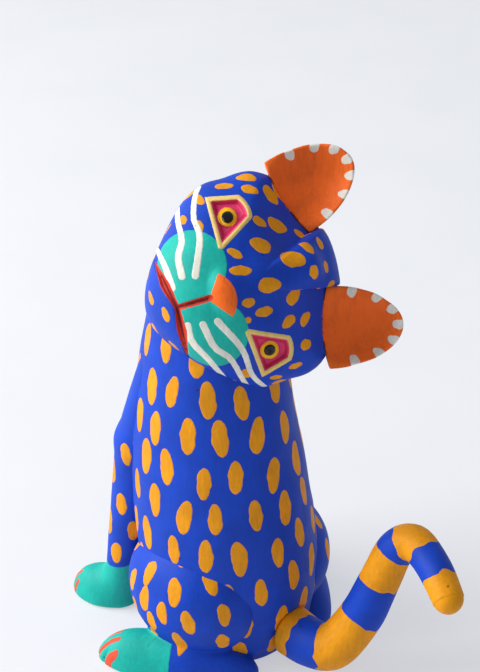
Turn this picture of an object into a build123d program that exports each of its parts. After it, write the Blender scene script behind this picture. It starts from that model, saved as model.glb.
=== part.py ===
"""Painted wooden cat, carved in pieces and pegged together, with plug-in ears and tail.

The cat's torso faces -Y, its left side is +X and up is +Z.  The origin is the middle of its
flat seat, on the surface it stands on.  Lengths are in millimetres, angles in degrees.
"""
from build123d import *
from math import cos, radians, sin
import os

# Torso: ovals from the flat seat up to a neck stump inside the head.
SEAT_HALF_X = 21.0
SEAT_HALF_Y = 19.0
BELLY_HALF_X = 24.5
BELLY_HALF_Y = 25.5
BELLY_Z = 27.0
BELLY_LEAN = -3.0
CHEST_HALF_X = 21.5
CHEST_HALF_Y = 24.0
CHEST_Z = 64.0
CHEST_LEAN = -8.0          # the chest's axis, in front of the seat's
NECK_HALF_X = 16.0
NECK_HALF_Y = 18.0
NECK_Z = 97.0

# Head: a broad skull with a short muzzle, thrown back and rolled over.
HEAD_CENTRE = (-3.0, -0.5, 109.0)
SKULL_HALF_WIDTH = 29.0
SKULL_HALF_HEIGHT = 25.5
SKULL_HALF_DEPTH = 20.0
MUZZLE_HALF_WIDTH = 19.0
MUZZLE_HALF_HEIGHT = 17.0
MUZZLE_HALF_DEPTH = 15.0
MUZZLE_REACH = 9.0         # muzzle's middle in front of the skull's
MUZZLE_DROP = 6.0          # muzzle's middle below the skull's
HEAD_HEADING = 136.5       # way the face looks, 0 being straight ahead
HEAD_LIFT = 26.0           # how far the face looks up
HEAD_ROLL = 73.0           # crown tipped over towards the cat's own left

# Ears: cupped leaves on flat tenons.
EAR_LENGTH = 21.5          # root line to tip
EAR_HALF_WIDTH = 11.0
EAR_THICKNESS = 7.0
EAR_CUP_RADIUS = 15.0
EAR_CUP_DEPTH = 4.0
EAR_SPREAD = 17.0          # root's middle, out from the head's middle plane
EAR_RISE = 16.0            # root's middle, above the head's middle
EAR_SPLAY = 15.0           # outward lean
TENON_WIDTH = 7.0
TENON_THICKNESS = 3.0
TENON_IN_EAR = 6.0
TENON_IN_HEAD = 8.0

# Forelegs.
SHOULDER = (12.5, -24.0, 56.0)
SHOULDER_RADIUS = 8.0
ANKLE = (16.5, -30.5, 10.0)
ANKLE_RADIUS = 4.7
FOREPAW_LENGTH = 21.0
FOREPAW_WIDTH = 14.0
FOREPAW_HEIGHT = 10.0
FOREPAW_SPLAY = 20.0
FOREPAW_HEEL = 5.0         # paw behind the ankle's axis

# Hind legs: a round haunch on a long flat foot, let into the torso's side.
HIP_FLAT_X = 13.0          # flat floor of the haunch's pocket, from the middle plane
HAUNCH_Y = -2.0
HAUNCH_Z = 19.5
HAUNCH_HALF_LENGTH = 21.0
HAUNCH_HALF_HEIGHT = 19.0
HAUNCH_HALF_WIDTH = 17.5
FOOT_LENGTH = 46.0
FOOT_WIDTH = 17.0
FOOT_HEIGHT = 10.0
FOOT_SPLAY = 34.0
FOOT_MIDDLE = (24.5, 2.0)

# Tail: a bent taper on a dowel in the rump.
TAIL_SEAT_Y = 21.5         # flat that the tail's root faces
TAIL_Z = 9.5
TAIL_ROOT_RADIUS = 7.0
TAIL_TIP_RADIUS = 4.0
TAIL_BENDS = [(0, 8, 0), (-2, 14.5, 2), (-7, 19.5, 12.5), (-10.5, 22, 23.5), (-13.5, 24.5, 33.5),
              (-15, 29, 37.5), (-13.5, 35, 37), (-10.5, 42, 35), (-6.5, 50, 30.5)]
TAIL_END_DIR = (0.4, 0.75, -0.5)
TAIL_SECTIONS = 14
TAIL_TIP_ROUNDING = 0.93   # 1 would close the tip to a point

# Dowels.
NECK_PEG_RADIUS = 4.0
NECK_PEG_LENGTH = 28.0
NECK_PEG_FOOT_Z = 76.0
NECK_PEG_Y = -6.0
TAIL_PEG_RADIUS = 2.5
TAIL_PEG_IN_TORSO = 12.0
TAIL_PEG_IN_TAIL = 6.0
LIMB_PEG_RADIUS = 2.0
LIMB_PEG_LENGTH = 13.0
HIP_PEG_IN_TORSO = 6.0
SHOULDER_PEG_Z = 44.0
SHOULDER_PEG_SETBACK = 2.0 # front end ahead of the leg's axis

# Fits.
TURNING_FIT = 0.05         # radial, tail dowel in its holes
TENON_FIT = 0.15           # each side of an ear's tenon
PIECE_GAP = 0.3            # between faces of pieces that come apart
PEG_END_GAP = 0.5          # past the end of a dowel or tenon

os.makedirs("parts", exist_ok=True)


def save(piece, name):
    """Label a finished piece and write it under its own name."""
    piece.part.label = name
    export_step(piece.part, f"parts/{name}.step")


def ellipsoid(plane, half_x, half_y, half_z):
    """A ball stretched along a plane's own three directions."""
    return plane * scale(Sphere(1), by=(half_x, half_y, half_z))


def peg(axis_plane, radius, length):
    """A round dowel that starts on a plane and runs along its normal."""
    with BuildPart() as dowel:
        with BuildSketch(axis_plane):
            Circle(radius)
        extrude(amount=length)
    return dowel.part


# ---- directions of the head -------------------------------------------------------------

heading, lift, roll = radians(HEAD_HEADING), radians(HEAD_LIFT), radians(HEAD_ROLL)
face_dir = Vector(sin(heading) * cos(lift), -cos(heading) * cos(lift), sin(lift))
level_dir = Vector(cos(heading), sin(heading), 0)
tilt_dir = face_dir.cross(level_dir)
head_left_dir = level_dir * cos(roll) - tilt_dir * sin(roll)
head_plane = Plane(origin=HEAD_CENTRE, x_dir=head_left_dir, z_dir=face_dir)


def head_shape(margin):
    """The head's outside, grown by a margin: skull and muzzle."""
    muzzle_plane = Plane(origin=head_plane.from_local_coords(Vector(0, -MUZZLE_DROP, MUZZLE_REACH)),
                         x_dir=head_left_dir, z_dir=face_dir)
    skull = ellipsoid(head_plane, SKULL_HALF_WIDTH + margin, SKULL_HALF_HEIGHT + margin,
                      SKULL_HALF_DEPTH + margin)
    muzzle = ellipsoid(muzzle_plane, MUZZLE_HALF_WIDTH + margin, MUZZLE_HALF_HEIGHT + margin,
                       MUZZLE_HALF_DEPTH + margin)
    with BuildPart() as shape:
        add(skull)
        add(muzzle)
    return shape.part


def ear_plane(side):
    """Plane of an ear: y from root to tip, z out of the cup.  side is 1 for left, -1 for right."""
    splay = radians(EAR_SPLAY) * side
    across = head_left_dir * cos(splay) - head_plane.y_dir * sin(splay)
    root = head_plane.from_local_coords(Vector(side * EAR_SPREAD, EAR_RISE, 0))
    return Plane(origin=root, x_dir=across, z_dir=face_dir)


def ear_tenon(side, fit, end_gap):
    """The flat tongue that joins an ear to the head, from inside the head to inside the ear."""
    plane = ear_plane(side)
    start = plane.offset(-TENON_THICKNESS / 2 - fit)
    length = TENON_IN_HEAD + TENON_IN_EAR + end_gap
    middle = (TENON_IN_EAR - TENON_IN_HEAD - end_gap) / 2
    with BuildPart() as tongue:
        with BuildSketch(start):
            with Locations((0, middle)):
                Rectangle(TENON_WIDTH + 2 * fit, length)
        extrude(amount=TENON_THICKNESS + 2 * fit)
    return tongue.part


def make_ear(side):
    """A leaf with a round dish cut in its face, fitted over the head, with its tenon."""
    plane = ear_plane(side)
    dish_centre = plane.from_local_coords(
        Vector(0, EAR_LENGTH * 0.45, EAR_THICKNESS / 2 - EAR_CUP_DEPTH + EAR_CUP_RADIUS))
    tenon = ear_tenon(side, 0, 0)
    with BuildPart() as ear:
        with BuildSketch(plane.offset(-EAR_THICKNESS / 2)):
            with BuildLine():
                Line((EAR_HALF_WIDTH, -6), (-EAR_HALF_WIDTH, -6))
                Line((-EAR_HALF_WIDTH, -6), (-EAR_HALF_WIDTH, 0))
                ThreePointArc((-EAR_HALF_WIDTH, 0), (-EAR_HALF_WIDTH * 0.78, EAR_LENGTH * 0.62),
                              (0, EAR_LENGTH))
                ThreePointArc((0, EAR_LENGTH), (EAR_HALF_WIDTH * 0.78, EAR_LENGTH * 0.62),
                              (EAR_HALF_WIDTH, 0))
                Line((EAR_HALF_WIDTH, 0), (EAR_HALF_WIDTH, -6))
            make_face()
        extrude(amount=EAR_THICKNESS)
        with Locations(Location(dish_centre)):
            Sphere(EAR_CUP_RADIUS, mode=Mode.SUBTRACT)
        add(head_with_margin, mode=Mode.SUBTRACT)
        add(tenon)
    return ear


# ---- limbs ------------------------------------------------------------------------------

def left_foreleg_shape():
    """A tapering leg from the shoulder to the ankle, on a low rounded paw."""
    shoulder, ankle = Vector(SHOULDER), Vector(ANKLE)
    leg_dir = shoulder - ankle
    toe_dir = Vector(sin(radians(FOREPAW_SPLAY)), -cos(radians(FOREPAW_SPLAY)), 0)
    paw_middle = Vector(ankle.X, ankle.Y, 0) + toe_dir * (FOREPAW_LENGTH / 2 - FOREPAW_HEEL)
    paw = ellipsoid(Plane(origin=paw_middle, x_dir=toe_dir, z_dir=(0, 0, 1)),
                    FOREPAW_LENGTH / 2, FOREPAW_WIDTH / 2, FOREPAW_HEIGHT)
    with BuildPart() as leg:
        with BuildSketch(Plane(origin=ankle - leg_dir.normalized() * (ANKLE[2] / 2),
                               z_dir=leg_dir)):
            Circle(ANKLE_RADIUS)
        with BuildSketch(Plane(origin=shoulder, z_dir=leg_dir)):
            Circle(SHOULDER_RADIUS)
        loft()
        add(paw)
        split(bisect_by=Plane.XY, keep=Keep.TOP)
    return leg.part


def left_hind_leg_shape():
    """A round haunch cut flat where it meets the torso, on a long flat foot."""
    haunch = ellipsoid(Plane(origin=(HIP_FLAT_X, HAUNCH_Y, HAUNCH_Z)),
                       HAUNCH_HALF_WIDTH, HAUNCH_HALF_LENGTH, HAUNCH_HALF_HEIGHT)
    toe_dir = Vector(sin(radians(FOOT_SPLAY)), -cos(radians(FOOT_SPLAY)), 0)
    foot_middle = Vector(*FOOT_MIDDLE, 0)
    foot = ellipsoid(Plane(origin=foot_middle, x_dir=toe_dir, z_dir=(0, 0, 1)),
                     FOOT_LENGTH / 2, FOOT_WIDTH / 2, FOOT_HEIGHT)
    with BuildPart() as leg:
        add(haunch)
        split(bisect_by=Plane(origin=(HIP_FLAT_X, 0, 0), z_dir=(1, 0, 0)), keep=Keep.TOP)
        add(foot)
        split(bisect_by=Plane.XY, keep=Keep.TOP)
    return leg.part


def shoulder_peg_plane(side):
    """Where a shoulder dowel starts, inside the foreleg, running back into the torso."""
    share = (SHOULDER_PEG_Z - ANKLE[2]) / (SHOULDER[2] - ANKLE[2])
    x = ANKLE[0] + (SHOULDER[0] - ANKLE[0]) * share
    y = ANKLE[1] + (SHOULDER[1] - ANKLE[1]) * share
    return Plane(origin=(x * side, y - SHOULDER_PEG_SETBACK, SHOULDER_PEG_Z),
                 x_dir=(1, 0, 0), z_dir=(0, 1, 0))


def hip_peg_plane(side):
    """Where a hip dowel starts, inside the torso, running out into the haunch."""
    return Plane(origin=((HIP_FLAT_X - HIP_PEG_IN_TORSO) * side, HAUNCH_Y, HAUNCH_Z),
                 x_dir=(0, 1, 0), z_dir=(side, 0, 0))


# ---- tail -------------------------------------------------------------------------------

tail_root = Vector(0, TAIL_SEAT_Y + PIECE_GAP, TAIL_Z)
tail_peg_plane = Plane(origin=(0, TAIL_SEAT_Y - TAIL_PEG_IN_TORSO, TAIL_Z),
                       x_dir=(1, 0, 0), z_dir=(0, 1, 0))
neck_peg_plane = Plane(origin=(0, NECK_PEG_Y, NECK_PEG_FOOT_Z))

head_outside = head_shape(0)
head_with_margin = head_shape(PIECE_GAP)

SIDES = {"left": 1, "right": -1}
forelegs = {"left": left_foreleg_shape()}
hind_legs = {"left": left_hind_leg_shape()}
for limbs in (forelegs, hind_legs):
    limbs["right"] = mirror(limbs["left"], about=Plane.YZ)
shoulder_pegs = {name: peg(shoulder_peg_plane(side), LIMB_PEG_RADIUS, LIMB_PEG_LENGTH)
                 for name, side in SIDES.items()}
hip_pegs = {name: peg(hip_peg_plane(side), LIMB_PEG_RADIUS, LIMB_PEG_LENGTH)
            for name, side in SIDES.items()}
neck_peg_solid = peg(neck_peg_plane, NECK_PEG_RADIUS, NECK_PEG_LENGTH)
ear_slots = [ear_tenon(side, TENON_FIT, PEG_END_GAP) for side in SIDES.values()]
torso_tail_hole = peg(tail_peg_plane.offset(-PEG_END_GAP), TAIL_PEG_RADIUS + TURNING_FIT,
                      TAIL_PEG_IN_TORSO + PEG_END_GAP)
tail_hole = peg(Plane(origin=tail_root, x_dir=(1, 0, 0), z_dir=(0, 1, 0)),
                TAIL_PEG_RADIUS + TURNING_FIT, TAIL_PEG_IN_TAIL + PEG_END_GAP)

# ---- torso ------------------------------------------------------------------------------

with BuildPart() as torso_blank:
    for z, half_x, half_y, lean in (
            (0, SEAT_HALF_X, SEAT_HALF_Y, 0),
            (BELLY_Z, BELLY_HALF_X, BELLY_HALF_Y, BELLY_LEAN),
            (CHEST_Z, CHEST_HALF_X, CHEST_HALF_Y, CHEST_LEAN),
            (NECK_Z, NECK_HALF_X, NECK_HALF_Y, CHEST_LEAN)):
        with BuildSketch(Plane(origin=(0, lean, z))):
            Ellipse(half_x, half_y)
    loft()

with BuildPart() as torso:
    add(torso_blank.part)
    add(head_outside, mode=Mode.SUBTRACT)
    for name in SIDES:
        add(hind_legs[name], mode=Mode.SUBTRACT)
        add(hip_pegs[name], mode=Mode.SUBTRACT)
        add(shoulder_pegs[name], mode=Mode.SUBTRACT)
    add(neck_peg_solid, mode=Mode.SUBTRACT)
    with BuildSketch(Plane(origin=(0, TAIL_SEAT_Y, TAIL_Z), x_dir=(1, 0, 0), z_dir=(0, 1, 0))):
        Circle(TAIL_ROOT_RADIUS + 2 * PIECE_GAP)
    extrude(amount=TAIL_SEAT_Y, mode=Mode.SUBTRACT)
    add(torso_tail_hole, mode=Mode.SUBTRACT)
save(torso, "torso")

with BuildPart() as head:
    add(head_outside)
    add(neck_peg_solid, mode=Mode.SUBTRACT)
    add(ear_slots, mode=Mode.SUBTRACT)
save(head, "head")

with BuildPart() as neck_peg:
    add(neck_peg_solid)
save(neck_peg, "neck_peg")

for name, side in SIDES.items():
    save(make_ear(side), f"{name}_ear")

    with BuildPart() as foreleg:
        add(forelegs[name])
        add(torso_blank.part, mode=Mode.SUBTRACT)
        add(shoulder_pegs[name], mode=Mode.SUBTRACT)
    save(foreleg, f"{name}_foreleg")

    with BuildPart() as hind_leg:
        add(hind_legs[name])
        add(hip_pegs[name], mode=Mode.SUBTRACT)
    save(hind_leg, f"{name}_hind_leg")

    with BuildPart() as shoulder_peg:
        add(shoulder_pegs[name])
    save(shoulder_peg, f"{name}_shoulder_peg")

    with BuildPart() as hip_peg:
        add(hip_pegs[name])
    save(hip_peg, f"{name}_hip_peg")

tail_peg_solid = peg(tail_peg_plane, TAIL_PEG_RADIUS,
                     TAIL_PEG_IN_TORSO + PIECE_GAP + TAIL_PEG_IN_TAIL)
with BuildPart() as tail_peg:
    add(tail_peg_solid)
save(tail_peg, "tail_peg")

with BuildLine() as tail_line:
    Spline([tail_root] + [tail_root + Vector(bend) for bend in TAIL_BENDS],
           tangents=[(0, 1, 0), TAIL_END_DIR])

tail_curve = tail_line.edge()
tip_start = 1 - TAIL_TIP_RADIUS / tail_curve.length
tail_shares = [tip_start * index / TAIL_SECTIONS for index in range(TAIL_SECTIONS + 1)]
tail_shares += [tip_start + (1 - tip_start) * share for share in (0.5, 0.8, 1)]

with BuildPart() as tail:
    for share in tail_shares:
        radius = TAIL_ROOT_RADIUS + (TAIL_TIP_RADIUS - TAIL_ROOT_RADIUS) * share
        if share > tip_start:
            radius *= (1 - ((share - tip_start) / (1 - tip_start)) ** 2 * TAIL_TIP_ROUNDING) ** 0.5
        along = tail_curve % share
        with BuildSketch(Plane(origin=tail_curve @ share, x_dir=along.cross(Vector(1, 0, 0)),
                               z_dir=along)):
            Circle(radius)
    loft()
    add(tail_hole, mode=Mode.SUBTRACT)
save(tail, "tail")
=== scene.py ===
"""Painted wooden cat: carved forms, brush-painted patterns, studio light and camera.

Every carved piece is a signed distance field in millimetres, in the CAD model's own frame:
the cat's torso faces -Y, its left is +X and up is +Z.  Each field is meshed, refined and
pulled on to its surface, and painted by fields stored on the mesh as attributes.
"""
from math import cos, pi, radians, sin, sqrt

import bpy
import numpy as np
from mathutils import Matrix, Vector


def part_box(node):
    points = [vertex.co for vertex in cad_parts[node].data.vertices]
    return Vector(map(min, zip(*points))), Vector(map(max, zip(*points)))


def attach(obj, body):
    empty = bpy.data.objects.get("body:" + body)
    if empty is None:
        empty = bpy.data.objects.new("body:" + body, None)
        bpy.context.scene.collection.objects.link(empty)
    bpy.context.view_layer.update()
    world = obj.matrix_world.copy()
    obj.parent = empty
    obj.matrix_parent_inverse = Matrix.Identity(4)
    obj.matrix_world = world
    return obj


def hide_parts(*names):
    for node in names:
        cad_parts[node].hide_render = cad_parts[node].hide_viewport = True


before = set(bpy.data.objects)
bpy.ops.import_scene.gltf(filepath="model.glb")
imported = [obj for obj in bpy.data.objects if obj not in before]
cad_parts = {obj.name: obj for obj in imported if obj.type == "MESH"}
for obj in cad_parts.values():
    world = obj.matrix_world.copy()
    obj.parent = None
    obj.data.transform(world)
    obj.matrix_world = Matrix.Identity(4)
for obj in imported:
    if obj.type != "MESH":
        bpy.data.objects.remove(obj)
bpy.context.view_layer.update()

MM = 0.001


# ---- distance fields --------------------------------------------------------------------

def unit(v):
    v = np.asarray(v, float)
    return v / np.linalg.norm(v)


class Frame:
    """A local frame: points in, local coordinates out."""

    def __init__(self, origin, x_dir, z_dir):
        self.origin = np.asarray(origin, float)
        self.z = unit(z_dir)
        x = np.asarray(x_dir, float)
        self.x = unit(x - (x @ self.z) * self.z)
        self.y = np.cross(self.z, self.x)
        self.rows = np.array([self.x, self.y, self.z])

    def local(self, points):
        return (points - self.origin) @ self.rows.T

    def world(self, local_points):
        return np.asarray(local_points, float) @ self.rows + self.origin


def ellipsoid(q, centre, radii):
    """Distance to an ellipsoid, close enough near its surface."""
    r = np.asarray(radii, float)
    d = q - np.asarray(centre, float)
    k0 = np.sqrt(((d / r) ** 2).sum(1))
    k1 = np.sqrt(((d / (r * r)) ** 2).sum(1)) + 1e-9
    return k0 * (k0 - 1) / k1


def capsule(q, a, b, radius_a, radius_b):
    """Distance to a rod between two points, with a radius at each end."""
    a, b = np.asarray(a, float), np.asarray(b, float)
    ab = b - a
    t = np.clip(((q - a) @ ab) / (ab @ ab), 0, 1)
    return np.linalg.norm(q - a - t[:, None] * ab, axis=1) - (radius_a + (radius_b - radius_a) * t)


def box(q, centre, half, edge=0.0):
    d = np.abs(q - np.asarray(centre, float)) - (np.asarray(half, float) - edge)
    return np.linalg.norm(np.maximum(d, 0), axis=1) + np.minimum(d.max(1), 0) - edge


def join(a, b, k):
    """Union of two fields, blended over k millimetres."""
    h = np.clip(0.5 + 0.5 * (b - a) / k, 0, 1)
    return b + (a - b) * h - k * h * (1 - h)


def cut(a, b, k):
    """First field less the second, with a rim k millimetres soft."""
    return -join(-a, b, k)


def carve_noise(p, size, depth):
    """Slow uneven knife work over a surface: crossed waves that never line up."""
    s = 2 * pi / size
    x, y, z = p[:, 0] * s, p[:, 1] * s, p[:, 2] * s
    waves = (np.sin(1.00 * x + 0.63 * y + 1.3) + np.sin(0.71 * y - 0.92 * z + 4.1)
             + np.sin(0.83 * z + 0.57 * x + 2.2) + np.sin(1.31 * x - 1.17 * y + 0.9 * z)
             + 0.6 * np.sin(2.3 * x + 1.9 * z + 0.4) * np.sin(2.1 * y - 1.1 * x))
    return waves * depth / 3


# ---- meshing ----------------------------------------------------------------------------

def surface_nets(field, low, high, step):
    """Quads over the zero surface of a field, one vertex in each cell that it crosses."""
    low, high = np.asarray(low, float), np.asarray(high, float)
    counts = np.ceil((high - low) / step).astype(int) + 1
    axes = [low[i] + step * np.arange(counts[i]) for i in range(3)]
    grid = np.stack(np.meshgrid(*axes, indexing="ij"), -1)
    value = field(grid.reshape(-1, 3)).reshape(counts)
    inside = value < 0
    cells = counts - 1
    total = np.zeros((*cells, 3))
    hits = np.zeros(cells)
    for axis in range(3):
        a = [slice(None)] * 3
        b = [slice(None)] * 3
        a[axis], b[axis] = slice(0, -1), slice(1, None)
        va, vb = value[tuple(a)], value[tuple(b)]
        crossed = inside[tuple(a)] != inside[tuple(b)]
        t = np.where(crossed, va / np.where(crossed, va - vb, 1), 0)
        point = grid[tuple(a)] + 0
        point[..., axis] += t * step
        others = [i for i in range(3) if i != axis]
        for i in (0, 1):
            for j in (0, 1):
                s = [slice(None)] * 3
                s[others[0]] = slice(i, i + cells[others[0]])
                s[others[1]] = slice(j, j + cells[others[1]])
                c = crossed[tuple(s)]
                total += point[tuple(s)] * c[..., None]
                hits += c
    used = hits > 0
    index = np.full(cells, -1)
    index[used] = np.arange(used.sum())
    verts = total[used] / hits[used][:, None]
    quads = []
    for axis in range(3):
        o1, o2 = (axis + 1) % 3, (axis + 2) % 3
        s = [slice(None)] * 3
        s[axis] = slice(0, cells[axis])
        s[o1], s[o2] = slice(1, cells[o1]), slice(1, cells[o2])
        ia = inside[tuple(s)]
        t = list(s)
        t[axis] = slice(1, cells[axis] + 1)
        ib = inside[tuple(t)]
        where = np.argwhere(ia != ib)
        flip = ib[ia != ib]
        if not len(where):
            continue
        where[:, o1] += 1
        where[:, o2] += 1
        corners = []
        for d1, d2 in ((1, 1), (0, 1), (0, 0), (1, 0)):
            c = where.copy()
            c[:, o1] -= d1
            c[:, o2] -= d2
            corners.append(index[c[:, 0], c[:, 1], c[:, 2]])
        quad = np.stack(corners, 1)
        quad[flip] = quad[flip][:, ::-1]
        quads.append(quad)
    return verts, np.concatenate(quads)


def pull(field, verts, rounds=2, reach=0.6, eps=0.04):
    """Move vertices on to the field's zero surface."""
    for _ in range(rounds):
        d = field(verts)
        slope = np.stack([field(verts + eps * np.eye(3)[i]) - d for i in range(3)], 1) / eps
        size = (slope ** 2).sum(1) + 1e-6
        verts = verts - slope * (np.clip(d, -reach, reach) / np.maximum(size, 0.3))[:, None]
    return verts


def split_quads(verts, quads):
    """Each quad becomes four."""
    n = len(verts)
    edges = np.concatenate([np.sort(quads[:, [i, (i + 1) % 4]], 1) for i in range(4)])
    key, back = np.unique(edges, axis=0, return_inverse=True)
    back = back.reshape(4, -1)
    middles = verts[key].mean(1)
    centres = verts[quads].mean(1)
    e = back + n
    c = np.arange(len(quads)) + n + len(key)
    new = [np.stack([quads[:, i], e[i], c, e[i - 1]], 1) for i in range(4)]
    return np.concatenate([verts, middles, centres]), np.concatenate(new)


def carve(name, field, low, high, step=1.0, levels=2, margin=2.0):
    """Mesh a field inside a box, refined on to its surface."""
    verts, quads = surface_nets(field, np.array(low) - margin, np.array(high) + margin, step)
    verts = pull(field, verts)
    for _ in range(levels):
        verts, quads = split_quads(verts, quads)
        verts = pull(field, verts, reach=0.3)
    mesh = bpy.data.meshes.new(name)
    mesh.vertices.add(len(verts))
    mesh.vertices.foreach_set("co", (verts * MM).astype(np.float32).ravel())
    mesh.loops.add(quads.size)
    mesh.loops.foreach_set("vertex_index", quads.astype(np.int32).ravel())
    mesh.polygons.add(len(quads))
    mesh.polygons.foreach_set("loop_start", np.arange(0, quads.size, 4, dtype=np.int32))
    mesh.polygons.foreach_set("use_smooth", np.ones(len(quads), bool))
    mesh.update(calc_edges=True)
    mesh.validate()
    piece = bpy.data.objects.new(name, mesh)
    bpy.context.scene.collection.objects.link(piece)
    return piece, verts


def store(piece, name, values):
    layer = piece.data.attributes.new(name, "FLOAT", "POINT")
    layer.data.foreach_set("value", np.asarray(values, np.float32))


# ---- brush work -------------------------------------------------------------------------

def spots(points, marks):
    """Signed field of painted ovals, positive inside.

    A mark is (centre, long direction, cross direction, half length, half width).
    """
    best = np.full(len(points), -9.0)
    for index, (centre, along, across, half_long, half_wide) in enumerate(marks):
        near = np.abs(points - centre).max(1) < half_long + 3
        d = points[near] - centre
        a, b = d @ along, d @ across
        depth = d @ np.cross(along, across)
        wobble = 1 + 0.05 * np.sin(3 * np.arctan2(b, a) + index) + 0.03 * np.sin(
            5 * np.arctan2(b, a) + 2.3 * index)
        r = np.sqrt((a / half_long) ** 2 + (b / half_wide) ** 2) / wobble
        value = np.where(np.abs(depth) < 4.5, (1 - r) * half_wide, -9)
        best[near] = np.maximum(best[near], value)
    return best


def stroke(uv, path, half_widths):
    """Signed field of a brush stroke along a 2-D path, positive inside."""
    best = np.full(len(uv), -9.0)
    path = np.asarray(path, float)
    for i in range(len(path) - 1):
        a, b = path[i], path[i + 1]
        ab = b - a
        t = np.clip(((uv - a) @ ab) / (ab @ ab), 0, 1)
        d = np.linalg.norm(uv - a - t[:, None] * ab, axis=1)
        w = half_widths[i] + (half_widths[i + 1] - half_widths[i]) * t
        best = np.maximum(best, w - d)
    return best


# ---- the body's forms -------------------------------------------------------------------

# Torso sections, as height, half x, half y, lean along y.
TORSO_Z = [0, 6, 16, 27, 40, 52, 64, 76, 88, 100]
TORSO_HALF_X = [20.6, 22.3, 24.0, 24.6, 24.3, 23.3, 21.8, 20.0, 18.0, 16.0]
TORSO_HALF_Y = [18.6, 21.4, 24.3, 25.7, 25.8, 25.2, 24.1, 22.5, 20.4, 17.8]
TORSO_LEAN = [0, -0.6, -1.7, -3.0, -4.9, -6.6, -7.9, -8.4, -8.4, -8.2]

HEAD_HEADING, HEAD_LIFT, HEAD_ROLL = radians(136.5), radians(26.0), radians(73.0)
HEAD_CENTRE = np.array([-3.0, -0.5, 109.0])
FACE_DIR = np.array([sin(HEAD_HEADING) * cos(HEAD_LIFT), -cos(HEAD_HEADING) * cos(HEAD_LIFT),
                     sin(HEAD_LIFT)])
LEVEL_DIR = np.array([cos(HEAD_HEADING), sin(HEAD_HEADING), 0.0])
HEAD_LEFT = LEVEL_DIR * cos(HEAD_ROLL) - np.cross(FACE_DIR, LEVEL_DIR) * sin(HEAD_ROLL)
HEAD = Frame(HEAD_CENTRE, HEAD_LEFT, FACE_DIR)      # x to the cat's left, y to the crown

TAIL_SEAT_Y, TAIL_Z = 21.5, 9.5
PIECE_GAP = 0.3
TAIL_POINTS = [(0, 0, 0), (0, 8, 0), (-2, 14.5, 2), (-7, 19.5, 12.5), (-10.5, 22, 23.5),
               (-13.5, 24.5, 33.5), (-15, 29, 37.5), (-13.5, 35, 37), (-10.5, 42, 35),
               (-6.5, 50, 30.5)]


def torso_section(z):
    return (np.interp(z, TORSO_Z, TORSO_HALF_X), np.interp(z, TORSO_Z, TORSO_HALF_Y),
            np.interp(z, TORSO_Z, TORSO_LEAN))


def torso_field(p):
    half_x, half_y, lean = torso_section(p[:, 2])
    x, y = p[:, 0] / half_x, (p[:, 1] - lean) / half_y
    k0 = np.sqrt(x * x + y * y)
    k1 = np.sqrt((x / half_x) ** 2 + (y / half_y) ** 2) + 1e-9
    side = k0 * (k0 - 1) / k1
    foot = -join(-side, p[:, 2], 2.5)
    body = np.maximum(foot, p[:, 2] - 100)
    body = np.maximum(body, -(head_outside(p) + 2.0))
    seat = np.maximum(np.hypot(p[:, 0], p[:, 2] - TAIL_Z) - 7.6, TAIL_SEAT_Y - p[:, 1])
    socket = np.maximum(np.hypot(p[:, 0], p[:, 2] - TAIL_Z) - 2.55, TAIL_SEAT_Y - 12.5 - p[:, 1])
    body = cut(body, seat, 0.3)
    body = cut(body, socket, 0.2) + carve_noise(p, 26, 0.16)
    return np.maximum(body, -p[:, 2])


def head_outside(p):
    """Skull, cheeks and muzzle, without the carved features."""
    q = HEAD.local(p)
    skull = ellipsoid(q, (0, 0, -1), (27.4, 25.2, 18.8))
    muzzle = ellipsoid(q, (0, -7, 8), (18.5, 16.5, 15))
    jaw = np.abs(q[:, 0]) * 0.678 - q[:, 1] * 0.735 - 23.8
    return -join(-join(skull, muzzle, 7), -jaw, 5)


EYE_X, EYE_Y = 17.4, 1.4
EYE_INNER, EYE_OUTER = (11.7, -1.9), (22.5, -1.6)


def eye_outline(q):
    """Signed field of an almond eye opening in the face's plane, positive inside."""
    x, y = np.abs(q[:, 0]), q[:, 1]
    lower = y + 1.65 - 0.05 * (x - 17)
    upper = 6.1 - np.hypot(x - 17.2, y - 0.3)
    inner = (x - EYE_INNER[0]) * 0.876 - (y - EYE_INNER[1]) * 0.483
    outer = (EYE_OUTER[0] - x) * 0.97 - (y - EYE_OUTER[1]) * 0.24
    return np.minimum.reduce([lower, upper, inner, outer])


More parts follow.
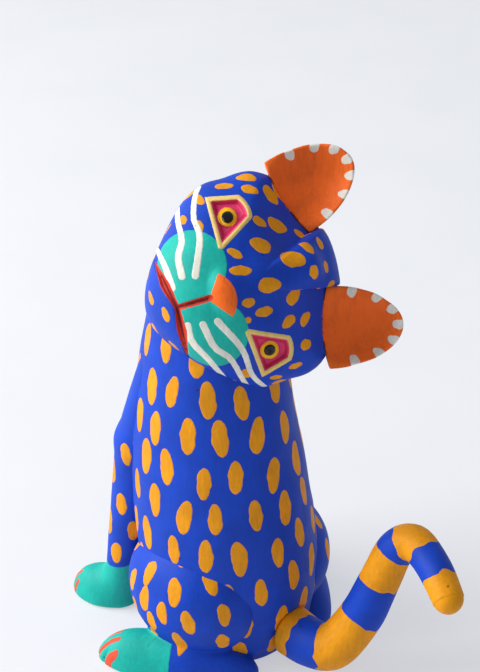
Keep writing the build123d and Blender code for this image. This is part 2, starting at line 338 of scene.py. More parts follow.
def head_field(p):
    q = HEAD.local(p)
    front = q[:, 2] > 0
    body = head_outside(p)
    u, v = q[:, 0], q[:, 1]
    # Bridge of the nose, brow planes and cheeks
    bridge = capsule(q, (0, 16, 12.5), (0, -2, 18.2), 3.5, 4.2)
    body = join(body, bridge, 5)
    # Nose pad
    nose = ellipsoid(q, (0.4, -4.8, 21.2), (6.2, 3.8, 3.2))
    body = join(body, nose, 1.2)
    # Swollen roots for the ears
    for side in (1, -1):
        root = ellipsoid(EARS[side].local(p), (0, -6, 0.5), (11.4, 8.5, 6))
        body = join(body, root, 4)
    # Mouth and philtrum grooves
    arms = stroke(q[:, :2], [(-12.4, -19.2), (-6, -18.4), (0, -17.2), (6, -17.9), (13, -18.6)],
                  [0.2, 0.9, 0.6, 0.9, 0.2])
    philtrum = stroke(q[:, :2], [(0, -8.8), (0, -17.2)], [0.55, 0.55])
    groove = np.where(front, np.maximum(arms, philtrum), -9)
    body = body + 0.9 * np.clip((groove + 0.25) / 0.8, 0, 1)
    # Eye recess with its domed iris and pupil
    eye = np.where(front, eye_outline(q), -9)
    sink = 1.5 * np.clip(eye / 1.3, 0, 1) ** 0.7
    r = np.hypot(np.abs(u) - EYE_X, v - EYE_Y)
    dome = np.clip(1 - (r / 2.6) ** 2, 0, 1)
    pupil = np.clip((1.65 - r) / 0.35, 0, 1)
    inside_eye = eye > 0
    body = body + np.where(inside_eye, sink - 1.1 * np.sqrt(dome) * (r < 2.6) - 0.35 * pupil, 0)
    rim = np.clip(1 - np.abs(eye + 0.55) / 0.65, 0, 1)
    body = body - 0.22 * rim
    # Ear slots
    for side in (1, -1):
        e = EARS[side].local(p)
        body = cut(body, box(e, (0, -1.5, 0), (3.65, 7.5, 1.65)), 0.15)
        leaf = np.abs(e[:, 0]) - 10.6 + 0.35 * np.sin(e[:, 0] * 2.1)
        root = e[:, 1] - 0.012 * e[:, 0] ** 2
        slope = np.where(root > 0.1, -3.9, 3.0 + 1.25 * np.maximum(0, 0.1 - root)) - e[:, 2]
        body = cut(body, np.maximum(leaf, slope), 1.6)
    return body + carve_noise(p, 17, 0.14)


# ---- ears -------------------------------------------------------------------------------

EAR_SPREAD, EAR_RISE, EAR_SPLAY = 17.0, 16.0, radians(15)
EAR_LENGTH, EAR_HALF_WIDTH = 21.5, 11.0


def ear_frame(side):
    across = HEAD.x * cos(EAR_SPLAY * side) - HEAD.y * sin(EAR_SPLAY * side)
    return Frame(HEAD.world([side * EAR_SPREAD, EAR_RISE, 0]), across, HEAD.z)


EARS = {side: ear_frame(side) for side in (1, -1)}


def ear_field(p, side):
    q = EARS[side].local(p)
    x, y, z = q[:, 0], q[:, 1], q[:, 2]
    rise = np.clip(y / EAR_LENGTH, 0, 1.2)
    leaf = np.sqrt((x / EAR_HALF_WIDTH) ** 2 + rise ** 2.2)
    outline = (leaf - 0.975) * EAR_HALF_WIDTH
    back = -(z + 3.4) + 2.6 * np.minimum(leaf, 1.2) ** 2
    shell = np.maximum.reduce([outline, back, z - 3.3, -(y + 5.5)])
    dish = 13.5 - np.sqrt((x * 1.02) ** 2 + ((y - 8.6) * 0.86) ** 2 + (z - 12.2) ** 2)
    shell = cut(shell, -dish, 0.9)
    shell = np.maximum(shell, PIECE_GAP - y + 0.012 * x ** 2)
    tenon = box(q, (0, -3.6, 0), (3.5, 4.4, 1.5), 0.2)
    return np.minimum(shell + carve_noise(p, 12, 0.10), tenon)


# ---- limbs ------------------------------------------------------------------------------

def mirrored(p, side):
    return p * np.array([side, 1, 1])


# Foreleg's ends, where it runs up into the chest, and its paw with x towards the toes.
SHOULDER, ANKLE, CHEST_END = (12.5, -24.0, 57.0), (16.5, -30.5, 9.0), (8.5, -16.0, 84.0)
TOE_DIR = unit([sin(radians(20)), -cos(radians(20)), 0])
PAW = Frame((16.5 + TOE_DIR[0] * 5.5, -30.5 + TOE_DIR[1] * 5.5, 0), TOE_DIR, (0, 0, 1))


def foreleg_field(p, side):
    q = mirrored(p, side)
    leg = capsule(q, SHOULDER, ANKLE, 7.4, 4.7)
    shoulder = capsule(q, CHEST_END, SHOULDER, 8.0, 7.4)
    leg = join(leg, shoulder, 2)
    f = PAW.local(q)
    foot = ellipsoid(f, (0, 0, 0.5), (10.3, 7.0, 9.3))
    body = join(leg, foot, 4)
    for offset in (-2.4, 0, 2.4):
        nick = stroke(f[:, :2], [(8.3, offset * 1.15), (13, offset * 1.5)], [0.25, 0.5])
        body = body + 0.5 * np.clip((nick + 0.4) / 0.6, 0, 1) * (f[:, 2] < 7)
    body = -join(-body, q[:, 2], 1.2)
    return np.maximum(body + carve_noise(p, 15, 0.12), -p[:, 2])


HAUNCH_CENTRE, HAUNCH_RADII = (13, -2, 19.5), (17.4, 21, 19)
FOOT_SPLAY = radians(34)
FOOT_DIR = np.array([sin(FOOT_SPLAY), -cos(FOOT_SPLAY), 0.0])
FOOT = Frame((24.5, 2.0, 0), FOOT_DIR, (0, 0, 1))


def hind_leg_field(p, side):
    q = mirrored(p, side)
    haunch = ellipsoid(q, HAUNCH_CENTRE, HAUNCH_RADII)
    haunch = np.maximum(haunch, 10 - q[:, 0])
    f = FOOT.local(q)
    foot = ellipsoid(f, (0, 0, 0), (22.8, 8.3, 9.8))
    toes = ellipsoid(f, (13.2, 0, 0), (7.2, 6.2, 7.4))
    foot = join(foot, toes, 4)
    body = join(haunch, foot, 1.2)
    for offset in (-3.9, -1.3, 1.3, 3.9):
        nick = stroke(f[:, :2], [(19.5, offset), (25, offset * 1.25)], [0.25, 0.5])
        body = body + 0.5 * np.clip((nick + 0.4) / 0.6, 0, 1) * (f[:, 2] < 6)
    body = -join(-body, q[:, 2], 1.2)
    return np.maximum(body + carve_noise(p, 19, 0.14), -p[:, 2])


# ---- tail -------------------------------------------------------------------------------

def smooth_path(points, count):
    """Points of a Catmull-Rom curve through the given ones, evenly spaced along it."""
    pts = np.asarray(points, float)
    pts = np.vstack([2 * pts[0] - pts[1], pts, 2 * pts[-1] - pts[-2]])
    out = []
    for i in range(1, len(pts) - 2):
        p0, p1, p2, p3 = pts[i - 1:i + 3]
        for t in np.linspace(0, 1, 24, endpoint=False):
            out.append(0.5 * (2 * p1 + (p2 - p0) * t + (2 * p0 - 5 * p1 + 4 * p2 - p3) * t ** 2
                              + (3 * p1 - p0 - 3 * p2 + p3) * t ** 3))
    out.append(pts[-2])
    out = np.array(out)
    run = np.concatenate([[0], np.cumsum(np.linalg.norm(np.diff(out, axis=0), axis=1))])
    even = np.linspace(0, run[-1], count)
    return np.stack([np.interp(even, run, out[:, k]) for k in range(out.shape[1])], 1), run[-1]


TAIL_ROOT = np.array([0, TAIL_SEAT_Y + PIECE_GAP, TAIL_Z])
TAIL_PATH, TAIL_LENGTH = smooth_path(TAIL_POINTS, 90)
TAIL_PATH = TAIL_PATH + TAIL_ROOT
TAIL_ROOT_RADIUS, TAIL_TIP_RADIUS = 7.0, 4.0


def tail_share(p):
    """Nearest place along the tail, 0 to 1, and the distance from it."""
    best = np.full(len(p), 1e9)
    share = np.zeros(len(p))
    n = len(TAIL_PATH) - 1
    for i in range(n):
        a, b = TAIL_PATH[i], TAIL_PATH[i + 1]
        ab = b - a
        t = np.clip(((p - a) @ ab) / (ab @ ab), 0, 1)
        d = np.linalg.norm(p - a - t[:, None] * ab, axis=1)
        closer = d < best
        best[closer] = d[closer]
        share[closer] = ((i + t) / n)[closer]
    return share, best


def tail_field(p):
    share, d = tail_share(p)
    end = 1 - TAIL_TIP_RADIUS / TAIL_LENGTH
    share_in = np.minimum(share, end)
    radius = TAIL_ROOT_RADIUS + (TAIL_TIP_RADIUS - TAIL_ROOT_RADIUS) * share_in
    tip = TAIL_PATH[int(end * (len(TAIL_PATH) - 1))]
    rounded = np.linalg.norm(p - tip, axis=1) - TAIL_TIP_RADIUS
    body = np.where(share > end, rounded, d - radius)
    root = TAIL_ROOT[1] - p[:, 1]
    body = np.where(share < 0.25, -join(-body, -root, 0.8), body)
    hole = np.maximum(np.hypot(p[:, 0], p[:, 2] - TAIL_Z) - 2.55, p[:, 1] - TAIL_ROOT[1] - 6.5)
    body = np.where(share < 0.25, cut(body, hole, 0.2), body)
    return body + carve_noise(p, 13, 0.10)


# ---- painted patterns -------------------------------------------------------------------

# Ovals on the face, as left, up, half length, half width and tilt in the face's plane.
FACE_SPOTS = [
    (-26.5, 9.5, 2.6, 1.6, 70), (-25.5, 3, 2.4, 1.4, 70), (-22.5, 9, 2.3, 1.5, 60),
    (-20.5, 14.5, 2.6, 1.9, 65), (-24, -4, 2.5, 1.1, 10), (-20.5, -9.5, 2.4, 1.0, 5),
    (-17.6, -6, 2.2, 1.0, 0), (-19.5, -14, 1.9, 1.1, 60), (-14.6, 9.2, 2.0, 1.4, 70),
    (-13, 14.5, 3.0, 2.1, 70), (-8.5, 7.5, 3.0, 2.2, 70), (-8.5, 0.4, 2.1, 1.1, 45),
    (-4, 0.2, 2.8, 1.3, 75), (-2.5, 13, 3.1, 2.2, 75), (1.5, 5.5, 3.2, 1.9, 75),
    (7, 12, 2.8, 1.9, 90), (4, -0.3, 1.8, 1.2, 75), (7.6, 3, 2.5, 1.3, 75),
    (8.3, -1.5, 0.9, 0.8, 0), (12.5, 8.6, 2.5, 1.5, 80), (14.5, 14, 2.3, 1.5, 90),
    (20, 11, 2.1, 1.3, 50), (24, 6.6, 1.9, 1.1, 75), (-9, 21, 1.7, 1.1, 50),
    (-4, 22, 1.7, 1.1, 10), (-4, 17.8, 1.9, 1.5, 20), (2, 21.5, 1.6, 1.2, 10),
    (2, 16.8, 1.9, 1.4, 20), (7, 22, 1.7, 1.0, 80), (-4, -23.5, 2.2, 1.3, 10),
    (1, -20.8, 2.0, 1.3, 0), (4, -25, 2.2, 1.4, 0), (9.5, -21.6, 1.9, 1.5, 50),
    (17, -18, 1.9, 1.1, 40), (20.3, -13.4, 1.9, 1.0, 30), (22, -6.2, 2.3, 1.4, 0),
    (-9.5, -22.6, 1.8, 1.2, 10), (-14.5, -20.3, 1.8, 1.1, 30), (25.5, 1, 1.7, 1.0, 60),
]
BACK_SPOTS = 62

# Whisker strokes, left and up in the face's plane, from the muzzle outwards.
WHISKERS = [
    [(5, -16.1), (9.3, -16.3), (15.2, -13.7), (22.5, -11.3), (27, -9.5)],
    [(5.8, -12.4), (12.2, -11.4), (16.4, -8.5), (24, -7.1), (28, -6)],
    [(6.1, -8.7), (14.7, -5.1), (22.3, -4.7), (27, -2.5)],
    [(-5, -16.9), (-10, -17), (-14.6, -17.8)],
    [(-7, -13.7), (-11.7, -13.2), (-15.3, -11.1), (-20.3, -10.7), (-25, -9.5)],
    [(-6.2, -10.5), (-14.8, -6.6), (-19.5, -6.7), (-24.5, -4.9), (-27, -3)],
]


def on_surface(field, start, toward):
    """Where a line meets a field's zero surface, walking from outside inwards."""
    point = np.array(start, float)
    for _ in range(40):
        point = point + unit(toward) * float(field(point[None])[0]) * 0.9
    return point


def surface_mark(field, start, toward, up, half_long, half_wide, tilt=0.0):
    """A painted oval where a line meets the surface, its long side turned from up."""
    point = on_surface(field, start, toward)
    eps = 0.3
    here = field(point[None])[0]
    normal = unit([field((point + eps * np.eye(3)[i])[None])[0] - here for i in range(3)])
    across = unit(np.cross(up, normal))
    along = np.cross(normal, across)
    turn = radians(tilt)
    return (point, along * cos(turn) + across * sin(turn), across * cos(turn) - along * sin(turn),
            half_long, half_wide)


def head_marks():
    marks = []
    for u, v, half_long, half_wide, tilt in FACE_SPOTS:
        start = HEAD.world([u * 0.985, v * 0.985, 30])
        hit = on_surface(head_outside, start, -HEAD.z)
        if np.linalg.norm(HEAD.local(hit)) > 34:
            start, way = HEAD.world([u * 1.4, v * 1.4, 4]), HEAD.world([0, 0, 2]) - HEAD.world([u, v, 2])
        else:
            way = -HEAD.z
        marks.append(surface_mark(head_outside, start, way, HEAD.y, half_long, half_wide, 90 - tilt))
    random = np.random.default_rng(11)
    golden = pi * (3 - sqrt(5))
    for i in range(BACK_SPOTS * 2):
        w = 1 - (i + 0.5) / BACK_SPOTS
        ring = sqrt(1 - min(w * w, 1))
        way = np.array([ring * cos(golden * i), ring * sin(golden * i), w])
        if way[2] > 0.12 or way[2] < -0.98:
            continue
        start = HEAD.world(way * 45)
        size = random.uniform(0.85, 1.15)
        marks.append(surface_mark(head_outside, start, HEAD.world([0, 0, 0]) - start, HEAD.y,
                                  2.6 * size, 1.7 * size, random.uniform(0, 90)))
    return marks


def torso_marks():
    """Staggered rows of upright ovals round the torso."""
    random = np.random.default_rng(5)
    marks = []
    rows = 9
    for row in range(rows):
        z = 5.5 + row * 11.1
        half_x, half_y, lean = torso_section(np.array([z]))
        count = int(round(2 * pi * sqrt((half_x[0] ** 2 + half_y[0] ** 2) / 2) / 9.7))
        for i in range(count):
            turn = 2 * pi * (i + 0.5 * (row % 2) + random.uniform(-0.10, 0.10)) / count
            here = z + random.uniform(-1.3, 1.3)
            start = np.array([60 * cos(turn), lean[0] + 60 * sin(turn), here])
            size = random.uniform(0.9, 1.1)
            long_side = 4.9 if row else 3.6
            marks.append(surface_mark(torso_outside, start, (-cos(turn), -sin(turn), 0), (0, 0, 1),
                                      long_side * size, 2.05 * size, random.uniform(-9, 9)))
    return marks


def torso_outside(p):
    half_x, half_y, lean = torso_section(p[:, 2])
    return (np.hypot(p[:, 0] / half_x, (p[:, 1] - lean) / half_y) - 1) * np.minimum(half_x, half_y)


def haunch_marks():
    """Ovals over the haunch, tilted by their place along it to follow its roundness."""
    random = np.random.default_rng(3)
    marks = []
    for ring, count, offset in ((0.2, 3, 0.2), (0.55, 7, 0.1), (0.9, 11, 0.4)):
        for i in range(count):
            turn = 2 * pi * (i + offset) / count
            y, z = -2 + 21 * ring * cos(turn), 19.5 + 19 * ring * sin(turn)
            if z < 7:
                continue
            size = random.uniform(0.88, 1.08)
            tilt = -16 * (y + 2) / 21 + random.uniform(-8, 8)
            marks.append(surface_mark(haunch_outside, (60, y, z), (-1, 0, 0), (0, 0, 1),
                                      3.9 * size, 2.0 * size, tilt))
    return marks


def haunch_outside(p):
    return ellipsoid(p, HAUNCH_CENTRE, HAUNCH_RADII)


def foreleg_marks():
    """Ovals round the foreleg, from the shoulder to the painted paw."""
    random = np.random.default_rng(8)
    top, bottom = np.array(SHOULDER), np.array(ANKLE)
    marks = []
    for row in range(5):
        z = 20.5 + row * 9.0
        middle = bottom + (top - bottom) * (z - bottom[2]) / (top[2] - bottom[2])
        for i in range(4):
            turn = 2 * pi * (i + 0.5 * (row % 2) + 0.15) / 4
            start = middle + 20 * np.array([cos(turn), sin(turn), 0])
            size = random.uniform(0.9, 1.1)
            marks.append(surface_mark(lambda p: foreleg_field(p, 1), start, middle - start, (0, 0, 1),
                                      3.9 * size, 1.9 * size, random.uniform(-8, 8)))
    return marks


def flip_marks(marks, side):
    mirror = np.array([side, 1, 1])
    return [(c * mirror, a * mirror, b * mirror, length, width) for c, a, b, length, width in marks]


# ---- materials --------------------------------------------------------------------------

def linear(colour):
    """Linear light from a colour as it is seen, 0 to 255."""
    c = np.array(colour) / 255
    return (*np.where(c <= 0.04045, c / 12.92, ((c + 0.055) / 1.055) ** 2.4), 1.0)


BLUE, OCHRE, TEAL = (6, 66, 190), (238, 156, 4), (16, 184, 168)
ORANGE, CREAM, CREAM_RIM = (255, 112, 30), (238, 236, 222), (240, 208, 120)
RED, PINK, GOLD, BLACK = (206, 56, 34), (232, 66, 122), (255, 196, 14), (14, 16, 18)
CLAW, WOOD = (232, 84, 56), (214, 184, 136)


class Nodes:
    """A short way to write a shader graph."""

    def __init__(self, name):
        self.material = bpy.data.materials.new(name)
        self.material.use_nodes = True
        self.tree = self.material.node_tree
        self.tree.nodes.clear()
        self.position = self.add("ShaderNodeTexCoord").outputs["Object"]

    def add(self, kind, **settings):
        node = self.tree.nodes.new(kind)
        for key, value in settings.items():
            setattr(node, key, value)
        return node

    def link(self, value, socket):
        if isinstance(value, bpy.types.NodeSocket):
            self.tree.links.new(value, socket)
        else:
            socket.default_value = value

    def math(self, operation, a, b=0.0):
        node = self.add("ShaderNodeMath", operation=operation)
        self.link(a, node.inputs[0])
        self.link(b, node.inputs[1])
        return node.outputs[0]

    def mix(self, factor, a, b, blend="MIX"):
        node = self.add("ShaderNodeMix", data_type="RGBA", blend_type=blend)
        self.link(factor, node.inputs["Factor"])
        self.link(a, node.inputs[6])
        self.link(b, node.inputs[7])
        return node.outputs[2]

    def ramp(self, value, low, high, out_low=0.0, out_high=1.0):
        node = self.add("ShaderNodeMapRange", interpolation_type="SMOOTHSTEP")
        self.link(value, node.inputs["Value"])
        for key, number in (("From Min", low), ("From Max", high), ("To Min", out_low),
                            ("To Max", out_high)):
            node.inputs[key].default_value = number
        return node.outputs[0]

    def noise(self, size_mm, detail=3.0, stretch=(1, 1, 1), roughness=0.55):
        mapping = self.add("ShaderNodeMapping")
        self.link(self.position, mapping.inputs["Vector"])
        mapping.inputs["Scale"].default_value = stretch
        node = self.add("ShaderNodeTexNoise")
        self.link(mapping.outputs[0], node.inputs["Vector"])
        node.inputs["Scale"].default_value = 1000 / size_mm
        node.inputs["Detail"].default_value = detail
        node.inputs["Roughness"].default_value = roughness
        return node.outputs["Fac"]

    def pits(self, size_mm, share):
        """Small scattered holes: 1 in a pit, 0 elsewhere."""
        node = self.add("ShaderNodeTexVoronoi")
        self.link(self.position, node.inputs["Vector"])
        node.inputs["Scale"].default_value = 1000 / size_mm
        cell = self.add("ShaderNodeSeparateColor")
        self.link(node.outputs["Color"], cell.inputs[0])
        chosen = self.math("LESS_THAN", cell.outputs[0], share)
        return self.math("MULTIPLY", chosen, self.ramp(node.outputs["Distance"], 0.09, 0.16, 1, 0))

    def attribute(self, name):
        return self.add("ShaderNodeAttribute", attribute_name=name).outputs["Fac"]


def painted(name, base, layers, gloss_layer=None, grain=(1, 1, 0.16)):
    """Brush-applied matte acrylic over carved wood, in layers (attribute, colour)."""
    n = Nodes(name)
    cloud = n.noise(9, 3)
    streak = n.noise(0.9, 4, grain, 0.6)
    fine = n.noise(0.28, 2)
    edge_wander = n.math("MULTIPLY", n.math("SUBTRACT", n.noise(0.8, 2), 0.5), 0.22)
    colour = linear(base)
    height = n.math("MULTIPLY", streak, 0.5)
    gloss = 0.0
    for attribute, layer_colour in layers:
        value = n.math("ADD", n.attribute(attribute), edge_wander)
        mask = n.ramp(value, -0.045, 0.045)
        colour = n.mix(mask, colour, linear(layer_colour))
        thick = n.ramp(value, -0.06, 0.22)
        height = n.math("ADD", height, n.math("MULTIPLY", thick, 1.4))
        if attribute == gloss_layer:
            gloss = mask
    tone = n.ramp(cloud, 0.3, 0.7, 0.90, 1.08)
    tone = n.math("MULTIPLY", tone, n.ramp(streak, 0.25, 0.75, 0.90, 1.07))
    tone = n.math("MULTIPLY", tone, n.ramp(fine, 0.2, 0.8, 0.96, 1.03))
    pit = n.pits(2.6, 0.035)
    tone = n.math("MULTIPLY", tone, n.math("SUBTRACT", 1.0, n.math("MULTIPLY", pit, 0.55)))
    shade = n.add("ShaderNodeCombineColor")
    for channel in range(3):
        n.link(tone, shade.inputs[channel])
    colour = n.mix(1.0, colour, shade.outputs[0], "MULTIPLY")
    height = n.math("SUBTRACT", height, n.math("MULTIPLY", pit, 2.0))
    height = n.math("ADD", height, n.math("MULTIPLY", fine, 0.25))
    bump = n.add("ShaderNodeBump")
    bump.inputs["Strength"].default_value = 0.55
    bump.inputs["Distance"].default_value = 0.10 * MM
    n.link(height, bump.inputs["Height"])
    rough = n.ramp(streak, 0.2, 0.8, 0.50, 0.66)
    if gloss_layer:
        rough = n.math("SUBTRACT", rough, n.math("MULTIPLY", gloss, 0.42))
    shader = n.add("ShaderNodeBsdfPrincipled")
    n.link(colour, shader.inputs["Base Color"])
    n.link(rough, shader.inputs["Roughness"])
    n.link(bump.outputs[0], shader.inputs["Normal"])
    shader.inputs["Specular IOR Level"].default_value = 0.26
    out = n.add("ShaderNodeOutputMaterial")
    n.link(shader.outputs[0], out.inputs[0])
    return n.material


def bare_wood(name):
    """Pale sanded softwood with long dark grain."""
    n = Nodes(name)
    rings = n.noise(1.1, 4, (1, 0.08, 1), 0.6)
    pores = n.noise(0.25, 2, (1, 0.12, 1))
    colour = n.mix(n.ramp(rings, 0.35, 0.65), linear(WOOD), linear((178, 140, 92)))
    colour = n.mix(n.ramp(pores, 0.62, 0.72, 0, 0.6), colour, linear((126, 92, 58)))
    bump = n.add("ShaderNodeBump")
    bump.inputs["Strength"].default_value = 0.5
    bump.inputs["Distance"].default_value = 0.1 * MM
    n.link(n.math("ADD", rings, pores), bump.inputs["Height"])
    shader = n.add("ShaderNodeBsdfPrincipled")
    n.link(colour, shader.inputs["Base Color"])
    n.link(n.ramp(rings, 0.3, 0.7, 0.6, 0.75), shader.inputs["Roughness"])
    n.link(bump.outputs[0], shader.inputs["Normal"])
    out = n.add("ShaderNodeOutputMaterial")
    n.link(shader.outputs[0], out.inputs[0])
    return n.material


def finish_piece(piece, material, body, node):
    piece.data.materials.append(material)
    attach(piece, body)
    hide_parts(node)


# ---- pieces -----------------------------------------------------------------------------

def node_box(node):
    low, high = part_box(node)
    return np.array(low) / MM, np.array(high) / MM


def make_torso():
    piece, verts = carve("carved_torso", torso_field, *node_box("torso"), step=1.3)
    store(piece, "spots", spots(verts, torso_marks()))
    finish_piece(piece, painted("torso_paint", BLUE, [("spots", OCHRE)]), "figure", "torso")


def make_head():
    piece, verts = carve("carved_head", head_field, *node_box("head"), step=1.0)
    q = HEAD.local(verts)
    uv = q[:, :2]
    front = q[:, 2] > 1.0
    side_uv = np.abs(uv) * [1, 0] + uv * [0, 1]
    mouth = stroke(uv, [(-12.6, -19.3), (-6, -18.4), (0, -17.2), (6, -17.9), (13.2, -18.7)],
                   [0.15, 1.25, 0.7, 1.25, 0.15])
    philtrum = stroke(uv, [(0, -8.8), (0, -17.2)], [0.85, 0.8])
    groove = stroke(uv, [(-10.5, -18.9), (0, -17.2), (11, -18.3)], [0.1, 0.42, 0.1])
    groove = np.maximum(groove, stroke(uv, [(0, -9.5), (0, -17.2)], [0.32, 0.32]))
    disc = 8.6 - np.hypot(side_uv[:, 0] - 8.8, uv[:, 1] + 10.6)
    middle = stroke(uv, [(0, -7), (0, -16)], [4, 3])
    over_mouth = uv[:, 1] + 17.6 + 0.10 * np.abs(uv[:, 0])
    teal = np.minimum(np.maximum(disc, middle), over_mouth)
    nose_top = 6.9 - np.hypot((uv[:, 0] - 0.5) * 0.98, uv[:, 1] + 9.2)
    nose_side = (uv[:, 1] + 9.2) * 0.80 - np.abs(uv[:, 0] - 0.4) * 0.60
    nose = np.minimum(nose_top, nose_side)
    eye = eye_outline(q)
    r = np.hypot(side_uv[:, 0] - EYE_X, uv[:, 1] - EYE_Y)
    whiskers = np.full(len(verts), -9.0)
    for path in WHISKERS:
        whiskers = np.maximum(whiskers, stroke(uv, smooth_path(path, 14)[0], np.linspace(0.9, 0.6, 14)))
    layers = {"spots": spots(verts, head_marks()), "teal": teal, "whiskers": whiskers,
              "mouth": np.maximum(mouth, philtrum), "groove": groove, "nose": nose,
              "rim": eye + 1.15, "recess": eye, "iris": 2.4 - r, "pupil": 1.5 - r}
    hollow = 0.9 - np.abs(eye - 0.7)
    layers["recess_shade"] = np.where(eye > 0, hollow - 0.55, -9)
    for name, value in layers.items():
        if name != "spots":
            value = np.where(front, value, -9)
        store(piece, name, np.clip(value, -9, 9))
    order = [("spots", OCHRE), ("teal", TEAL), ("whiskers", CREAM), ("nose", ORANGE),
             ("mouth", RED), ("groove", (120, 22, 24)), ("rim", CREAM_RIM), ("recess", PINK),
             ("recess_shade", (206, 34, 84)), ("iris", GOLD), ("pupil", BLACK)]
    finish_piece(piece, painted("head_paint", BLUE, order, "pupil"), "figure", "head")


def make_ear(side):
    name = "left_ear" if side > 0 else "right_ear"
    piece, verts = carve(f"carved_{name}", lambda p: ear_field(p, side), *node_box(name), step=0.8)
    q = EARS[side].local(verts)
    x, y, z = q.T
    rise = np.clip(y / EAR_LENGTH, 0, 1.2)
    leaf = np.sqrt((x / EAR_HALF_WIDTH) ** 2 + rise ** 2.2)
    face = np.minimum(z + 2.6, (1.02 - leaf) * EAR_HALF_WIDTH)
    dots = []
    for i in range(7):
        turn = radians(-78 + 26 * i)
        u, v = 9.3 * sin(turn), 3.5 + (EAR_LENGTH - 5.0) * cos(turn) ** 0.8
        along = unit([u, v - 6, 0])
        dots.append((EARS[side].world([u, v, 0.5]), EARS[side].rows.T @ along,
                     EARS[side].rows.T @ np.array([along[1], -along[0], 0]), 1.75, 1.25))
    store(piece, "orange", np.clip(face, -9, 9))
    store(piece, "dots", np.where(face > 0, spots(verts, dots), -9))
    back = []
    for i in range(9):
        u, v = (-6, 0, 6)[i % 3] + (i % 2), 4 + 5 * (i // 3)
        back.append((EARS[side].world([u, v, -3]), EARS[side].y, EARS[side].x, 1.6, 1.0))
    store(piece, "spots", np.where(face < -0.3, spots(verts, back), -9))
    store(piece, "bare", np.where(np.abs(x) < 3.7, -y, -9) - 0.5
          + np.where(head_outside(verts) < -0.2, 0, -9))
    layers = [("spots", OCHRE), ("orange", ORANGE), ("dots", CREAM), ("bare", WOOD)]
    finish_piece(piece, painted(f"{name}_paint", BLUE, layers), name, name)


def make_foreleg(side):
    name = "left_foreleg" if side > 0 else "right_foreleg"
    low, high = node_box(name)
    # the shoulder reaches further in, back and up than the CAD leg
    low[0], high[0] = min(low[0], 0 if side > 0 else -30), max(high[0], 30 if side > 0 else 0)
    high[1], high[2] = -6, 93
    piece, verts = carve(f"carved_{name}", lambda p: foreleg_field(p, side), low, high)
    q = mirrored(verts, side)
    paw = PAW.local(q)
    sock = 14.2 - q[:, 2] - 0.22 * paw[:, 0] + 0.5 * np.sin(paw[:, 1])
    claws = np.full(len(verts), -9.0)
    for offset in (-4.3, -1.45, 1.45, 4.3):
        claws = np.maximum(claws, stroke(paw[:, :2], [(7.2, offset * 0.92), (11.5, offset * 1.1)],
                                         [0.6, 0.8]))
    store(piece, "spots", spots(verts, flip_marks(foreleg_marks(), side)))
    store(piece, "sock", np.clip(sock, -9, 9))
    store(piece, "claws", np.where(paw[:, 0] > 5, claws, -9))
    layers = [("spots", OCHRE), ("sock", TEAL), ("claws", CLAW)]
    finish_piece(piece, painted(f"{name}_paint", BLUE, layers), "figure", name)


def make_hind_leg(side):
    name = "left_hind_leg" if side > 0 else "right_hind_leg"
    piece, verts = carve(f"carved_{name}", lambda p: hind_leg_field(p, side), *node_box(name))
    q = mirrored(verts, side)
    f = FOOT.local(q)
    sock = ellipsoid(q, HAUNCH_CENTRE, HAUNCH_RADII) - 0.35
    sock = np.minimum(sock, f[:, 0] - 1)
    claws = np.full(len(verts), -9.0)
    for offset in (-5.4, -1.8, 1.8, 5.4):
        claws = np.maximum(claws, stroke(f[:, :2], [(16.6, offset * 0.95), (24, offset)],
                                         [0.75, 0.95]))
    store(piece, "spots", spots(verts, flip_marks(haunch_marks(), side)))
    store(piece, "sock", np.clip(sock, -9, 9))
    store(piece, "claws", np.where(f[:, 0] > 15, claws, -9))
    layers = [("spots", OCHRE), ("sock", TEAL), ("claws", CLAW)]
    finish_piece(piece, painted(f"{name}_paint", BLUE, layers), "figure", name)


# Edges of the tail's bands, as shares of its length; ochre first, then blue by turns.
TAIL_BANDS = [0.055, 0.15, 0.345, 0.49, 0.62, 0.67, 0.77, 0.875]


def make_tail():
    piece, verts = carve("carved_tail", tail_field, *node_box("tail"))
    share, _ = tail_share(verts)
    along = (share + 0.004 * np.sin(verts[:, 2] * 1.3) + 0.003 * np.sin(verts[:, 0] * 1.7)) * TAIL_LENGTH
    blue = np.full(len(verts), -9.0)
    for i in range(0, len(TAIL_BANDS), 2):
        a, b = TAIL_BANDS[i] * TAIL_LENGTH, TAIL_BANDS[i + 1] * TAIL_LENGTH
        blue = np.maximum(blue, np.minimum(along - a, b - along))
    store(piece, "bands", np.clip(blue, -9, 9))
    finish_piece(piece, painted("tail_paint", OCHRE, [("bands", BLUE)]), "tail", "tail")


make_torso()
make_head()
for side in (1, -1):
    make_ear(side)
    make_foreleg(side)
    make_hind_leg(side)
make_tail()

PEGS = ["neck_peg", "tail_peg", "left_shoulder_peg", "right_shoulder_peg", "left_hip_peg",
        "right_hip_peg"]
peg_wood = bare_wood("dowel_wood")
for peg in PEGS:
    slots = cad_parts[peg].data.materials
    slots.clear()
    slots.append(peg_wood)


# ---- stage, light and camera ------------------------------------------------------------

CAMERA_AZIMUTH, CAMERA_LIFT = radians(135), radians(30)
CAMERA_DISTANCE = 0.430
CAMERA_TARGET = np.array([-0.0009, 0.0009, 0.0948])
BACK = np.array([sin(CAMERA_AZIMUTH) * cos(CAMERA_LIFT), -cos(CAMERA_AZIMUTH) * cos(CAMERA_LIFT),
                 sin(CAMERA_LIFT)])
RIGHT = np.array([cos(CAMERA_AZIMUTH), sin(CAMERA_AZIMUTH), 0])
UP = np.cross(BACK, RIGHT)
# Focal length in picture heights.
CAMERA_ZOOM = 1651 / 672


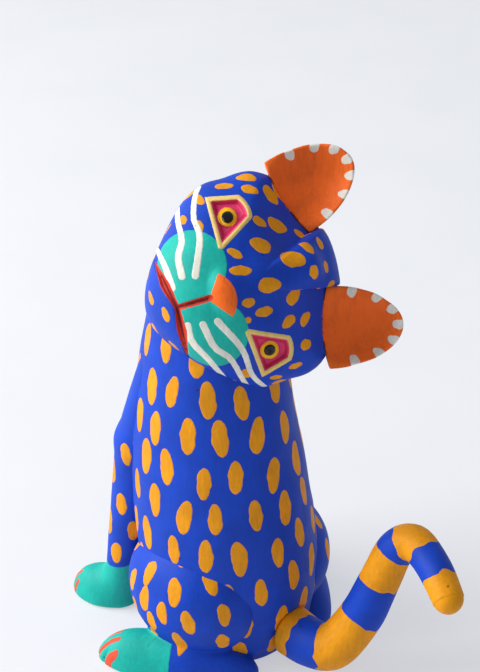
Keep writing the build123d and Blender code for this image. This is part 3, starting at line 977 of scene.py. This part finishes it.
def backdrop():
    """A sheet that lies flat under the cat and sweeps up behind it."""
    mesh = bpy.data.meshes.new("backdrop")
    radius, reach, rise, half_width, steps = 0.5, 0.75, 1.6, 2.2, 24
    outline = [(-1.4, 0.0), (reach, 0.0)]
    for i in range(1, steps + 1):
        turn = pi / 2 * i / steps
        outline.append((reach + radius * sin(turn), radius * (1 - cos(turn))))
    outline.append((reach + radius, rise))
    away = -np.array([sin(CAMERA_AZIMUTH), -cos(CAMERA_AZIMUTH)])
    right = np.array([cos(CAMERA_AZIMUTH), sin(CAMERA_AZIMUTH)])
    verts, faces = [], []
    for far, up in outline:
        for edge in (-half_width, half_width):
            x, y = away * far + right * edge
            verts.append((x, y, up - 0.0001))
    for i in range(len(outline) - 1):
        faces.append((2 * i, 2 * i + 1, 2 * i + 3, 2 * i + 2))
    mesh.from_pydata(verts, [], faces)
    for face in mesh.polygons:
        face.use_smooth = True
    sheet = bpy.data.objects.new("backdrop", mesh)
    bpy.context.scene.collection.objects.link(sheet)
    n = Nodes("backdrop_paper")
    shader = n.add("ShaderNodeBsdfPrincipled")
    tone = n.mix(n.ramp(n.noise(60, 2), 0.3, 0.7), linear((238, 240, 244)), linear((243, 244, 247)))
    n.link(tone, shader.inputs["Base Color"])
    shader.inputs["Roughness"].default_value = 0.85
    glow = n.add("ShaderNodeEmission")
    n.link(linear((243, 245, 249)), glow.inputs["Color"])
    path = n.add("ShaderNodeLightPath")
    seen = n.math("MAXIMUM", path.outputs["Is Camera Ray"], path.outputs["Is Glossy Ray"])
    seen = n.math("MAXIMUM", seen, path.outputs["Is Transmission Ray"])
    blend = n.add("ShaderNodeMixShader")
    n.link(n.math("MULTIPLY", seen, 0.55), blend.inputs[0])
    n.link(shader.outputs[0], blend.inputs[1])
    n.link(glow.outputs[0], blend.inputs[2])
    out = n.add("ShaderNodeOutputMaterial")
    n.link(blend.outputs[0], out.inputs[0])
    mesh.materials.append(n.material)


def make_camera():
    data = bpy.data.cameras.new("camera")
    data.sensor_fit = "VERTICAL"
    data.sensor_height = 36.0
    data.lens = data.sensor_height * CAMERA_ZOOM
    camera = bpy.data.objects.new("camera", data)
    bpy.context.scene.collection.objects.link(camera)
    rows = np.stack([RIGHT, UP, BACK], 1)
    place = Matrix.Identity(4)
    for i in range(3):
        for j in range(3):
            place[i][j] = float(rows[i, j])
        place[i][3] = float((CAMERA_TARGET + BACK * CAMERA_DISTANCE)[i])
    camera.matrix_world = place
    bpy.context.scene.camera = camera


def soft_light(name, way, distance, size, power, colour=(1, 1, 1)):
    """A square lamp that looks at the middle of the cat from a direction."""
    data = bpy.data.lights.new(name, "AREA")
    data.shape = "SQUARE"
    data.size = size
    data.energy = power
    data.color = colour
    lamp = bpy.data.objects.new(name, data)
    bpy.context.scene.collection.objects.link(lamp)
    aim = Vector((0, 0, 0.07))
    lamp.location = aim + Vector(unit(way)) * distance
    lamp.rotation_euler = (aim - lamp.location).to_track_quat("-Z", "Y").to_euler()


def make_lights():
    world = bpy.data.worlds.new("studio")
    bpy.context.scene.world = world
    world.use_nodes = True
    sky = world.node_tree.nodes["Background"]
    sky.inputs["Color"].default_value = linear((236, 240, 250))
    sky.inputs["Strength"].default_value = 0.46
    tree = world.node_tree
    shown = tree.nodes.new("ShaderNodeBackground")
    shown.inputs["Color"].default_value = linear((243, 245, 249))
    path = tree.nodes.new("ShaderNodeLightPath")
    blend = tree.nodes.new("ShaderNodeMixShader")
    tree.links.new(path.outputs["Is Camera Ray"], blend.inputs[0])
    tree.links.new(sky.outputs[0], blend.inputs[1])
    tree.links.new(shown.outputs[0], blend.inputs[2])
    tree.links.new(blend.outputs[0], tree.nodes["World Output"].inputs[0])
    soft_light("window", -RIGHT * 1.0 + UP * 0.55 + BACK * 0.25, 0.9, 0.7, 11.0, (1, 0.99, 0.97))


make_camera()
backdrop()
make_lights()
bpy.context.scene.view_settings.view_transform = "Standard"
